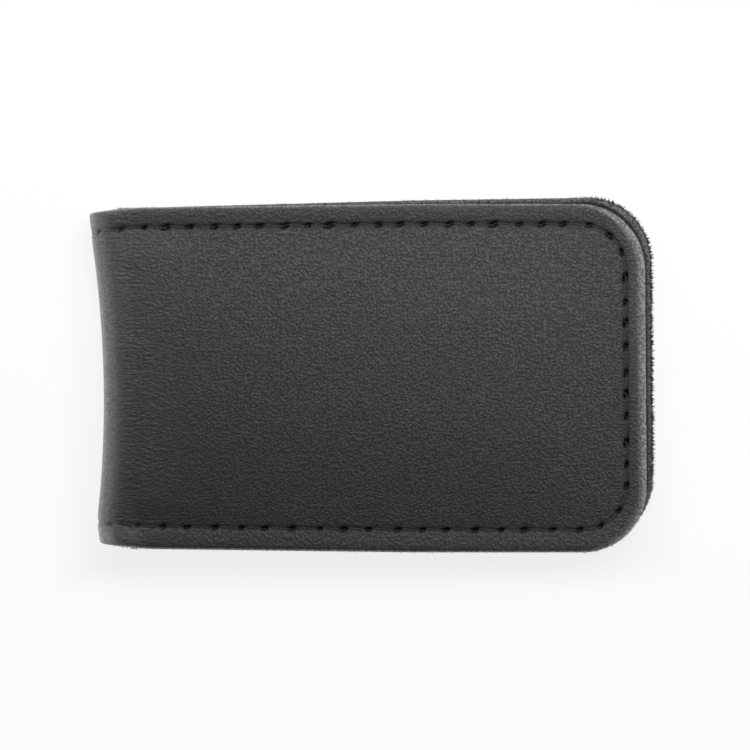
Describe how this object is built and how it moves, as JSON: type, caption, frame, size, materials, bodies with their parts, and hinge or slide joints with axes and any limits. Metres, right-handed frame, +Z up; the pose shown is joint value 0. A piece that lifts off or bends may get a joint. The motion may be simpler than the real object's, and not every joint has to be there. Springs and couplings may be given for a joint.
{
  "type": "magnetic money clip",
  "caption": "Folded leather money clip: stitched pebbled leather with a suede lining over magnet boards; the leaves open at a soft fold and snap shut on notes.",
  "frame": {"origin": "under the middle of the closed clip, on the flat outer face of its back leaf that it lies on", "axes": "+X from the fold to the free ends, +Y along the fold, +Z up from the back leaf to the front leaf"},
  "size_m": [0.07, 0.0442, 0.007],
  "materials": {
    "outer_leather": "black pebbled full-grain leather, semi-matt",
    "suede_lining": "dark grey suede, matt",
    "board": "bonded leather board, matt",
    "magnet": "nickel plated",
    "thread": "black twisted polyester thread"
  },
  "bodies": {
    "back_leaf": {"outer_leather_back": "outer_leather", "lining_back": "suede_lining", "stiffener_back": "board", "magnet_back_1": "magnet", "magnet_back_2": "magnet", "needle_thread_back": "thread", "bobbin_thread_back": "thread"},
    "spine": {"outer_leather_spine": "outer_leather", "lining_spine": "suede_lining", "needle_thread_spine_upper": "thread", "needle_thread_spine_lower": "thread", "bobbin_thread_spine_upper": "thread", "bobbin_thread_spine_lower": "thread"},
    "front_leaf": {"outer_leather_front": "outer_leather", "lining_front": "suede_lining", "stiffener_front": "board", "magnet_front_1": "magnet", "magnet_front_2": "magnet", "needle_thread_front": "thread", "bobbin_thread_front": "thread"}
  },
  "joints": [
    {"name": "back_fold", "type": "hinge", "parent": "back_leaf", "child": "spine", "pos_m": [-0.03406, 0, 0.00124], "axis": [0, -1, 0], "range_deg": [0, 90], "stiffness_Nm_per_rad": 0.05},
    {"name": "front_fold", "type": "hinge", "parent": "spine", "child": "front_leaf", "pos_m": [-0.03406, 0, 0.00576], "axis": [0, -1, 0], "range_deg": [0, 90], "stiffness_Nm_per_rad": 0.05}
  ],
  "couplings": [
    {"joint": "front_fold", "follows": "back_fold", "ratio": 1}
  ]
}
